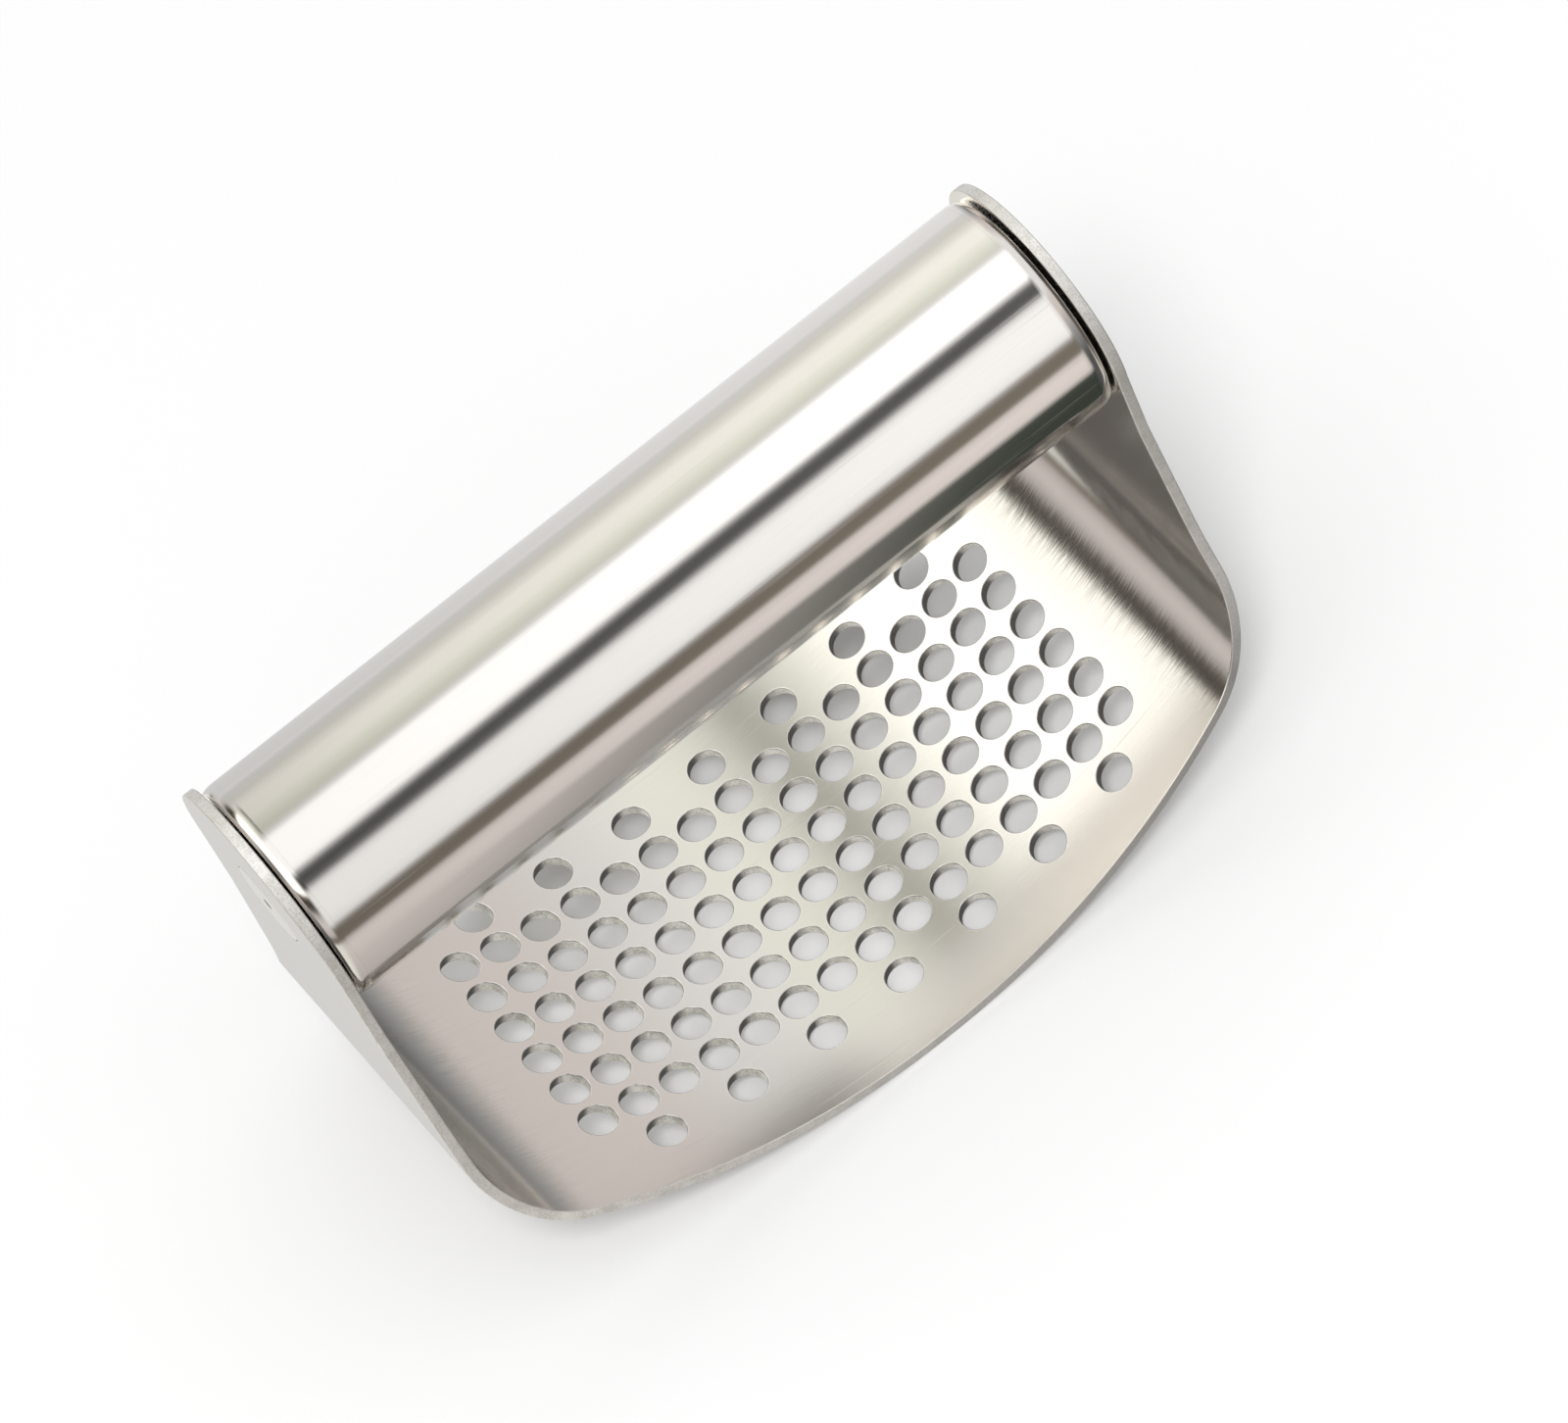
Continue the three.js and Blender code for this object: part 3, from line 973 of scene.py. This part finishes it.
        # The arc's own end, then the difference that the bend adds to it.
        sines = nodes.math("SUBTRACT", nodes.math("SINE", on_bend), nodes.math("SINE", half_angle))
        cosines = nodes.math("SUBTRACT", nodes.math("COSINE", half_angle),
                             nodes.math("COSINE", on_bend))
        x = nodes.math("MULTIPLY_ADD", bend, sines,
                       nodes.product(radius, nodes.math("SINE", on_arc)))
        rise = nodes.product(radius, nodes.math(
            "SUBTRACT", 1, nodes.math("COSINE", on_arc)))
        z = nodes.math("ADD", nodes.math("MULTIPLY_ADD", bend, cosines, rise),
                       nodes.math("ADD", past_bend, given["Thickness"]))
        folded = nodes.make("ShaderNodeCombineXYZ", {
            "X": nodes.product(x, nodes.math("SIGN", place["X"])),
            "Y": place["Y"], "Z": z})
        return folded.outputs["Vector"]

    def apply(self, blank: bpy.types.Object,
              tiles: Sequence[bpy.types.Object]) -> bpy.types.Object:
        """Runs the tree on the blank and returns the result as a plain mesh object.

        Args:
            blank: The flat blank round the lattice.
            tiles: The pierced and the plain tile, which are used up.

        Returns:
            The folded sheet, without thickness.
        """
        modifier = blank.modifiers.new("folded_lattice", "NODES")
        modifier.node_group = self.tree()
        values = {name: value for name, (_kind, value) in self.inputs().items()}
        values["Pierced tile"], values["Plain tile"] = tiles
        for item in modifier.node_group.interface.items_tree:
            if item.in_out == "INPUT" and item.name in values:
                modifier[item.identifier] = values[item.name]
        graph = bpy.context.evaluated_depsgraph_get()
        mesh = bpy.data.meshes.new_from_object(
            blank.evaluated_get(graph), preserve_all_data_layers=True, depsgraph=graph)
        blank.modifiers.clear()
        blank.data = mesh
        for tile in tiles:
            bpy.data.objects.remove(tile)
        return blank


# --- Handle ---------------------------------------------------------------------------------


@dataclass
class Handle:
    """The hollow barrel with a round-edged cap in each end."""

    axis_height: float
    radius: float
    cap_outer_x: float
    wall: float = 1 * MM
    cap_round: float = 1.5 * MM
    cap_drop: float = 0.5 * MM
    cap_face: float = 1.2 * MM
    cap_bore: float = 2.7 * MM
    spigot_length: float = 7 * MM
    seam: float = 0.003 * MM
    slip: float = 0.1 * MM
    corner: float = 0.003 * MM
    segments: int = 192
    round_steps: int = 10

    @classmethod
    def from_frame(cls) -> "Handle":
        """Reads the handle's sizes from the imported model."""
        low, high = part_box("handle_tube")
        _cap_low, cap_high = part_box("end_cap_right")
        return cls(axis_height=(low.z + high.z) / 2, radius=(high.z - low.z) / 2,
                   cap_outer_x=cap_high.x)

    def barrel(self) -> bpy.types.Object:
        """Makes the tube, up to the seam where each cap's round starts."""
        reach = self.cap_outer_x - self.cap_round - self.seam
        inner = self.radius - self.wall
        rings = [(inner, reach), (inner, -reach), (self.radius, -reach), (self.radius, 0.0),
                 (self.radius, reach)]
        tube = turned("handle_barrel", rings, self.axis_height, Side.LEFT, self.segments, True)
        add_bevel(tube, self.corner, segments=1, angle=60)
        return tube

    def cap(self, side: Side) -> bpy.types.Object:
        """Makes the pressed cap of one end."""
        spigot = self.radius - self.wall - self.slip
        hollow = spigot - self.wall
        rim_x = self.cap_outer_x - self.cap_round
        inner_x = self.cap_outer_x - self.cap_face
        rings = [
            (self.cap_bore, inner_x), (hollow, inner_x), (hollow, rim_x - self.spigot_length),
            (spigot, rim_x - self.spigot_length), (spigot, rim_x),
            *quarter_round(self.radius, self.cap_outer_x, self.cap_round, self.cap_drop,
                           self.round_steps),
            (self.radius / 2, self.cap_outer_x), (self.cap_bore, self.cap_outer_x),
        ]
        cap = turned(f"handle_cap_{side.label}", rings, self.axis_height, side,
                     self.segments, True)
        add_bevel(cap, self.corner, segments=1, angle=60)
        return cap


@dataclass
class Pivot:
    """The pin and spacer washer of one end of the handle.

    The pin's wide end turns in the ear, flush with its outer face, and its shank is held inside
    the cap.
    """

    side: Side
    axis_height: float
    tip_x: float
    face_x: float
    pin_radius: float
    washer_inner_x: float
    washer_outer_x: float
    washer_radius: float
    shank_radius: float = 2.4 * MM
    shank_chamfer: float = 0.4 * MM
    washer_bore: float = 4.6 * MM
    mark_radius: float = 0.62 * MM
    mark_floor_radius: float = 0.3 * MM
    mark_depth: float = 0.9 * MM
    pin_corner: float = 0.08 * MM
    washer_corner: float = 0.04 * MM
    segments: int = 96

    @classmethod
    def from_frame(cls, side: Side) -> "Pivot":
        """Reads one end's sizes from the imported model."""
        pin_low, pin_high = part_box("pivot_pin_right")
        washer_low, washer_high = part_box("spacer_washer_right")
        return cls(
            side=side, axis_height=(pin_low.z + pin_high.z) / 2, tip_x=pin_low.x,
            face_x=pin_high.x, pin_radius=(pin_high.z - pin_low.z) / 2,
            washer_inner_x=washer_low.x, washer_outer_x=washer_high.x,
            washer_radius=(washer_high.z - washer_low.z) / 2,
        )

    def pin(self, steel: bpy.types.Material, mark_shade_steel: bpy.types.Material) -> bpy.types.Object:
        """Makes the pin, with the mark of the lathe's centre in its face; the mark's shade is
        painted in near-black steel.

        Args:
            steel: The finish of the pin.
            mark_shade_steel: The near-black steel inside the mark, which is painted shade of its
                recess.

        Returns:
            The piece.
        """
        rings = [
            (self.shank_radius - self.shank_chamfer, self.tip_x),
            (self.shank_radius, self.tip_x + self.shank_chamfer),
            (self.shank_radius, self.washer_inner_x), (self.pin_radius, self.washer_inner_x),
            (self.pin_radius, self.face_x), (self.pin_radius / 2, self.face_x),
            (self.mark_radius, self.face_x),
            (self.mark_floor_radius, self.face_x - self.mark_depth),
        ]
        pin = turned(f"ear_pin_{self.side.label}", rings, self.axis_height, self.side,
                     self.segments, False)
        # The faces inside the mark take the near-black steel: painted shade of the recess.
        for material in (steel, mark_shade_steel):
            pin.data.materials.append(material)
        for face in pin.data.polygons:
            reach = math.hypot(face.center.y, face.center.z - self.axis_height)
            inside = reach < self.mark_radius and face.center.x * self.side.value > 0
            at_face = abs(face.center.x) > self.face_x - 2 * self.mark_depth
            face.material_index = int(inside and at_face)
        add_bevel(pin, self.pin_corner, segments=2, angle=40)
        return pin

    def washer(self) -> bpy.types.Object:
        """Makes the thin spacer between the cap and the ear."""
        rings = [
            (self.washer_radius, self.washer_inner_x), (self.washer_radius, self.washer_outer_x),
            (self.washer_bore, self.washer_outer_x), (self.washer_bore, self.washer_inner_x),
        ]
        washer = turned(f"ear_washer_{self.side.label}", rings, self.axis_height, self.side,
                        self.segments, True)
        add_bevel(washer, self.washer_corner, segments=2, angle=50)
        return washer


# --- Studio ---------------------------------------------------------------------------------


@dataclass(frozen=True)
class Tone:
    """A stretch of the studio's surroundings: a direction and the light that comes from it."""

    at: float
    level: float
    tint: Rgb = (1.0, 1.0, 1.0)


@dataclass(frozen=True)
class Fade:
    """A straight fade from 0, where it starts, to 1, where it is full."""

    start: float
    full: float

    def at(self, nodes: TreeBuilder, value: Socket) -> Socket:
        """Reads the fade at a value."""
        return nodes.fade(value, self.start, self.full)


@dataclass(frozen=True)
class Ray:
    """The direction of a mirrored ray, as sockets.

    Its turn is its angle round the handle's axis in degrees: 0 is level with the viewer, 90
    straight up.
    """

    x: Socket
    y: Socket
    z: Socket
    turn: Socket


GREENISH: Rgb = (0.82, 1.0, 0.8)
OLIVE: Rgb = (1.0, 1.02, 0.9)
ROSY: Rgb = (1.0, 0.925, 0.89)
BROWN: Rgb = (1.0, 0.88, 0.72)
CREAM: Rgb = (1.0, 0.985, 0.92)


@dataclass
class Surroundings:
    """What the steel mirrors: soft cards, with dark gaps between them.

    Rays that light the floor or reach the viewer see plain white instead, so that the cards don't
    colour it.
    """

    plain_light: float = 0.92
    brightest: float = 1.7
    slant: float = 85.0
    slant_centre_x: float = 0.14
    slant_reach_x: float = 0.08
    slant_centre: float = 55.0
    slant_spread: float = 90.0
    least_slant: float = 0.3
    gain_fade: Fade = Fade(0.08, 0.18)
    gain_left: float = 0.868
    gain_right: float = 1.088
    left_fade: Fade = Fade(-0.08, -0.223)
    right_fade: Fade = Fade(0.24, 0.365)

    def across(self) -> list[Tone]:
        """Tones round the handle's axis: 0 is level with the viewer, 90 straight up."""
        return [
            Tone(-180, 0.8), Tone(-125, 0.79), Tone(-92, 0.6), Tone(-70, 0.62, ROSY),
            Tone(-24, 0.82, ROSY), Tone(-18, 0.7, ROSY), Tone(-14, 0.2, BROWN),
            Tone(-3, 0.19, BROWN), Tone(1, 0.35, ROSY), Tone(5, 0.96), Tone(14, 1.06),
            Tone(38, 1.08), Tone(44, 0.98), Tone(47.5, 0.4), Tone(50, 0.09), Tone(59, 0.07),
            Tone(62, 0.14), Tone(65, 0.6), Tone(68, 1.35), Tone(102, 1.35), Tone(106, 0.8),
            Tone(111, 0.72, OLIVE), Tone(120, 0.86, OLIVE), Tone(131, 1.02, CREAM),
            Tone(143, 1.02, CREAM), Tone(150, 0.86, CREAM), Tone(160, 0.7, CREAM),
            Tone(172, 0.7), Tone(180, 0.85),
        ]

    def left_side(self) -> list[Tone]:
        """Tones towards -X by the direction's height, from -1 below to 1 above."""
        return [
            Tone(-1, 0.9, CREAM), Tone(-0.36, 0.85, CREAM), Tone(-0.3, 0.2, BROWN),
            Tone(-0.22, 0.2, BROWN), Tone(-0.16, 0.55, ROSY), Tone(0.06, 0.72, ROSY),
            Tone(0.2, 0.58, ROSY), Tone(0.28, 0.4, ROSY), Tone(0.35, 0.14, BROWN),
            Tone(0.44, 0.06, BROWN), Tone(0.52, 0.07, BROWN), Tone(0.57, 0.2, BROWN),
            Tone(0.61, 1.1, CREAM), Tone(0.64, 1.6, CREAM), Tone(0.82, 1.6, CREAM), Tone(1, 1.2),
        ]

    def right_side(self) -> list[Tone]:
        """Tones towards +X by the direction's height, from -1 below to 1 above."""
        return [
            Tone(-1, 0.1), Tone(-0.45, 0.1), Tone(-0.3, 0.13), Tone(-0.1, 0.24), Tone(0.1, 0.36),
            Tone(0.3, 0.56, ROSY), Tone(0.45, 0.72, ROSY), Tone(0.62, 0.74, ROSY),
            Tone(0.72, 0.86), Tone(0.8, 0.92), Tone(1, 0.9),
        ]

    def bands(self, nodes: TreeBuilder, ray: Ray) -> Socket:
        """Lays the tones round the handle's axis, slanted, and brighter towards the right."""
        # The slant is strongest for the bands in front and overhead.
        closeness = nodes.math("MULTIPLY_ADD", nodes.distance(ray.turn, self.slant_centre),
                               -1 / self.slant_spread, 1)
        lean = nodes.held(nodes.math("SUBTRACT", ray.x, self.slant_centre_x),
                          -self.slant_reach_x, self.slant_reach_x)
        slanted = nodes.math("MULTIPLY_ADD", nodes.product(
            lean, nodes.held(closeness, self.least_slant, 1)), -self.slant, ray.turn)
        colour = nodes.ramp(nodes.math("MULTIPLY_ADD", slanted, 1 / FULL_TURN_DEGREES, 0.5),
                            self.stops(self.across(), FULL_TURN_DEGREES))
        gain = nodes.math("MULTIPLY_ADD", self.gain_fade.at(nodes, ray.x),
                          self.gain_right - self.gain_left, self.gain_left)
        return nodes.scaled(colour, gain)

    def front_ground(self, nodes: TreeBuilder, ray: Ray, colour: Socket) -> Socket:
        """Darkens the ground in front, towards the right."""
        from_front, from_beneath, rightwards = Fade(-36, -43), Fade(-120, -110), Fade(0.09, 0.177)
        mask = nodes.product(from_front.at(nodes, ray.turn), from_beneath.at(nodes, ray.turn),
                             rightwards.at(nodes, ray.x))
        return nodes.mix_colour(mask, colour, self.level(0.05, GREENISH))

    def narrow_shade(self, nodes: TreeBuilder, ray: Ray, colour: Socket) -> Socket:
        """Hangs a shade behind the handle, which shows in the middle of the plate."""
        from_above, from_behind = Fade(104, 110), Fade(150, 140)
        centre_x, half_width, strength = 0.02, 0.07, 0.85
        mask = nodes.product(
            from_above.at(nodes, ray.turn), from_behind.at(nodes, ray.turn),
            Fade(half_width, 0).at(nodes, nodes.distance(ray.x, centre_x)), strength)
        return nodes.mix_colour(mask, colour, self.level(0.12, BROWN))

    def ends(self, nodes: TreeBuilder, ray: Ray, colour: Socket) -> Socket:
        """Puts what stands past either ear at the two ends."""
        height = nodes.math("MULTIPLY_ADD", ray.z, 0.5, 0.5)
        for fade, tones in ((self.left_fade, self.left_side()),
                            (self.right_fade, self.right_side())):
            end = nodes.ramp(height, self.stops(tones, 2))
            colour = nodes.mix_colour(fade.at(nodes, ray.x), colour, end)
        return colour

    def rebounds(self, nodes: TreeBuilder, ray: Ray, colour: Socket, depth: Socket) -> Socket:
        """Changes the tones where one face of the press mirrors another.

        The left end and the overhead card are dimmer there. What comes back from under the handle,
        or leaves it downwards, is brighter.

        Args:
            nodes: The world's builder.
            ray: The ray's direction.
            colour: The tone so far.
            depth: How many faces have mirrored the ray.

        Returns:
            The changed tone.
        """
        leftmost, leftward, inboard = Fade(-0.58, -0.68), Fade(0.5, 0.3), Fade(0.56, 0.435)
        back_and_down = Fade(1.3, 1.5)
        card_turn, card_fade, card_dimming = 85, Fade(28, 18), -0.6
        third_lift, sinking_lift = 1.1, 0.42
        twice = nodes.math("GREATER_THAN", depth, 1.5)
        thrice = nodes.math("GREATER_THAN", depth, 2.5)
        colour = nodes.mix_colour(nodes.product(twice, leftmost.at(nodes, ray.x)), colour,
                                  self.level(0.14, ROSY))
        on_card = card_fade.at(nodes, nodes.distance(ray.turn, card_turn))
        dimmed = nodes.math("ADD", 1, nodes.product(twice, on_card, card_dimming))
        sinking = back_and_down.at(nodes, nodes.math(
            "SUBTRACT", nodes.product(ray.y, 2), ray.z))
        lifting = nodes.math(
            "ADD", nodes.product(thrice, leftward.at(nodes, ray.x), third_lift),
            nodes.product(twice, sinking, inboard.at(nodes, ray.x), sinking_lift))
        return nodes.scaled(colour, nodes.product(dimmed, nodes.math("ADD", 1, lifting)))

    def build(self) -> None:
        """Sets up the world."""
        world = bpy.data.worlds.new("studio")
        bpy.context.scene.world = world
        world.use_nodes = True
        nodes = TreeBuilder(world.node_tree)
        axes = nodes.axes(nodes.add("ShaderNodeTexCoord").outputs["Generated"])
        path = nodes.add("ShaderNodeLightPath").outputs
        turn = nodes.math("ARCTAN2", axes["Z"], nodes.product(axes["Y"], -1))
        ray = Ray(axes["X"], axes["Y"], axes["Z"],
                  nodes.product(turn, FULL_TURN_DEGREES / FULL_TURN))
        colour = self.bands(nodes, ray)
        for step in (self.front_ground, self.narrow_shade, self.ends):
            colour = step(nodes, ray, colour)
        colour = self.rebounds(nodes, ray, colour, path["Glossy Depth"])
        background = world.node_tree.nodes["Background"]
        nodes.feed(background, "Color", nodes.mix_colour(
            path["Is Glossy Ray"], self.level(self.plain_light), colour))
        nodes.feed(background, "Strength", self.brightest)

    def level(self, amount: float,
              tint: Rgb = (1.0, 1.0, 1.0)) -> tuple[float, float, float, float]:
        """Gives a light as a colour, scaled so that the brightest fits."""
        return (*(amount / self.brightest * c for c in tint), 1.0)

    def stops(self, tones: Sequence[Tone], span: float) -> list[tuple[float, Rgb]]:
        """Turns tones into ramp stops over a span that is centred on 0."""
        return [(0.5 + tone.at / span, self.level(tone.level, tone.tint)[:3]) for tone in tones]


@dataclass
class Studio:
    """The floor, a soft lamp and the camera, inside the surroundings."""

    floor_size: float = 4.0
    floor_tone: float = 0.86
    lamp_azimuth: float = -24.0
    lamp_elevation: float = 62.0
    lamp_distance: float = 1.1
    lamp_size: float = 0.3
    lamp_power: float = 4.0
    view_azimuth: float = -13.86
    view_elevation: float = 53.92
    view_roll: float = 27.18
    view_distance: float = 0.7522
    view_target: tuple[float, float, float] = (4.66 * MM, -4.18 * MM, 30.96 * MM)
    frame_width_in_focal_lengths: float = 0.204342

    def floor(self) -> None:
        """Makes the plain pale floor, which the steel doesn't mirror."""
        half = self.floor_size / 2
        corners = [(-half, -half, 0), (half, -half, 0), (half, half, 0), (-half, half, 0)]
        floor = mesh_object("studio_floor", corners, [(0, 1, 2, 3)])
        material, nodes, shader = new_material("pale_floor")
        nodes.feed(shader, "Base Color", opaque((self.floor_tone,) * 3))
        nodes.feed(shader, "Roughness", 0.9)
        nodes.feed(shader, "Specular IOR Level", 0.1)
        floor.data.materials.append(material)
        floor.visible_glossy = False

    def outwards(self, azimuth: float, elevation: float) -> Vector:
        """Gives the direction from the press at these angles, in degrees."""
        turn, rise = math.radians(azimuth), math.radians(elevation)
        return Vector((math.sin(turn) * math.cos(rise), -math.cos(turn) * math.cos(rise),
                       math.sin(rise)))

    def lamp(self) -> None:
        """Hangs a soft lamp by the viewer's shoulder, kept out of the steel's reflections."""
        light = bpy.data.lights.new("soft_lamp", "AREA")
        light.shape = "DISK"
        light.size = self.lamp_size
        light.energy = self.lamp_power
        lamp = bpy.data.objects.new("soft_lamp", light)
        direction = self.outwards(self.lamp_azimuth, self.lamp_elevation)
        lamp.location = direction * self.lamp_distance
        lamp.rotation_euler = (-direction).to_track_quat("-Z", "Y").to_euler()
        lamp.visible_glossy = False
        bpy.context.scene.collection.objects.link(lamp)

    def camera(self) -> None:
        """Sets the camera by its angles about the press."""
        outwards = self.outwards(self.view_azimuth, self.view_elevation)
        place = Vector(self.view_target) + outwards * self.view_distance
        turn = (-outwards).to_track_quat("-Z", "Y").to_matrix()
        turn = turn @ Matrix.Rotation(-math.radians(self.view_roll), 3, "Z")
        data = bpy.data.cameras.new("studio_camera")
        data.sensor_width = 36
        data.lens = data.sensor_width / self.frame_width_in_focal_lengths
        data.clip_start = 0.01
        camera = bpy.data.objects.new("studio_camera", data)
        camera.matrix_world = Matrix.Translation(place) @ turn.to_4x4()
        bpy.context.scene.collection.objects.link(camera)
        bpy.context.scene.camera = camera

    def build(self) -> None:
        """Sets up everything that isn't the press."""
        bpy.context.scene.view_settings.view_transform = "Standard"
        Surroundings().build()
        self.floor()
        self.lamp()
        self.camera()


# --- Assembly -------------------------------------------------------------------------------

SHEET_STEEL = SteelFinish(
    name="brushed_sheet", tint=(0.82, 0.80, 0.765), worn_tint=(0.75, 0.73, 0.70),
    roughness=0.17, roughness_spread=0.05, grain_length=7 * MM, grain_width=0.14 * MM,
    grain_depth=0.0018 * MM, scratch_depth=0.0016 * MM, space=GrainSpace.BLANK,
    brush_marks=BrushMarks(lean=0.012, bend_lean=0.22))
RIM_STEEL = SteelFinish(
    name="deburred_rim", tint=(0.88, 0.865, 0.84), worn_tint=(0.78, 0.765, 0.74),
    roughness=0.14, roughness_spread=0.04, grain_length=2 * MM, grain_width=0.3 * MM,
    grain_depth=0.003 * MM, scratch_depth=0.001 * MM, space=GrainSpace.BLANK)
CUT_EDGE = ShearedFinish(
    name="sheared_edge", tint=(0.94, 0.93, 0.91), torn_tint=(0.78, 0.77, 0.74),
    roughness=0.42, grain=0.2 * MM, depth=0.02 * MM)
PUNCHED_WALL = ShearedFinish(
    name="punched_wall", tint=(0.70, 0.69, 0.66), torn_tint=(0.46, 0.45, 0.43),
    roughness=0.28, grain=0.18 * MM, depth=0.012 * MM)
HANDLE_STEEL = SteelFinish(
    name="polished_barrel", tint=(0.84, 0.815, 0.785), worn_tint=(0.79, 0.765, 0.735),
    roughness=0.11, roughness_spread=0.03, grain_length=9 * MM, grain_width=0.2 * MM,
    grain_depth=0.0010 * MM, scratch_depth=0.0008 * MM, space=GrainSpace.OBJECT)
# Near-black steel for the pin's centre mark: painted shade of the drilled recess, made with the
# sheared finish's grit.
MARK_PAINTED_SHADE = ShearedFinish(
    name="drilled_mark", tint=(0.07, 0.065, 0.06), torn_tint=(0.04, 0.037, 0.035),
    roughness=0.5, grain=0.15 * MM, depth=0.02 * MM)
PLAIN_STEEL = SteelFinish(
    name="plain_steel", tint=(0.6, 0.59, 0.57), worn_tint=(0.5, 0.49, 0.47),
    roughness=0.42, roughness_spread=0.08, grain_length=1 * MM, grain_width=0.4 * MM,
    grain_depth=0.004 * MM, scratch_depth=0.004 * MM, space=GrainSpace.OBJECT)


def place_piece(piece: bpy.types.Object, body: str, slot: str, *nodes: str) -> None:
    """Hands a finished piece to the frame.

    Args:
        piece: The piece.
        body: The body it moves with.
        slot: The record's material slot. It is not used.
        *nodes: The solid nodes it stands for.
    """
    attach(piece, body)
    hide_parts(*nodes)
    LOG.info("%s stands for %s on body %s", piece.name, ", ".join(nodes), body)


def dress(piece: bpy.types.Object, material: bpy.types.Material) -> bpy.types.Object:
    """Gives a piece one material."""
    piece.data.materials.clear()
    piece.data.materials.append(material)
    return piece


def build_sheet() -> None:
    """Builds the perforated sheet and hands it over."""
    finishes = {"sheet": SHEET_STEEL.build(), "rim": RIM_STEEL.build(),
                "cut_edge": CUT_EDGE.build(), "punched_wall": PUNCHED_WALL.build()}
    sheet = RockerSheet.from_frame().build(finishes)
    place_piece(sheet, PRESS_BODY, "sheet_steel", "press_body")


def build_handle() -> None:
    """Builds the barrel, its caps and its pivots, and hands them over."""
    handle = Handle.from_frame()
    barrel_steel = HANDLE_STEEL.build()
    turned_steel = TurnedFinish(
        name="faced_pin", tint=(0.97, 0.96, 0.94), roughness=0.2, ring_pitch=0.18 * MM,
        ring_depth=0.001 * MM, axis_height=handle.axis_height).build()
    # Near-black steel that paints the shade inside each pin's centre mark.
    mark_shade_steel = MARK_PAINTED_SHADE.build()
    barrel = dress(handle.barrel(), barrel_steel)
    place_piece(barrel, HANDLE_BODY, "handle_steel", "handle_tube")
    for side in Side:
        cap = dress(handle.cap(side), barrel_steel)
        place_piece(cap, HANDLE_BODY, "handle_steel", f"end_cap_{side.label}")
        pivot = Pivot.from_frame(side)
        pin = pivot.pin(turned_steel, mark_shade_steel)
        place_piece(pin, HANDLE_BODY, "pin_steel", f"pivot_pin_{side.label}")
        washer = dress(pivot.washer(), turned_steel)
        place_piece(washer, HANDLE_BODY, "pin_steel", f"spacer_washer_{side.label}")


def dress_hidden_collars() -> None:
    """Gives the collars inside the caps, which stay as packed, their plain steel."""
    plain_steel = PLAIN_STEEL.build()
    for side in Side:
        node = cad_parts[f"pin_collar_{side.label}"]
        for slot in node.material_slots:
            slot.material = plain_steel


def corners(bounds: Sequence[Vector]) -> list[list[float]]:
    """Turns a box into plain lists."""
    return [list(corner) for corner in bounds]


def main() -> None:
    """Builds the press and its studio."""
    logging.basicConfig(level=logging.INFO, format="%(name)s: %(message)s")
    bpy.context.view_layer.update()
    Studio().build()
    build_sheet()
    build_handle()
    dress_hidden_collars()


if __name__ == "__main__":
    main()
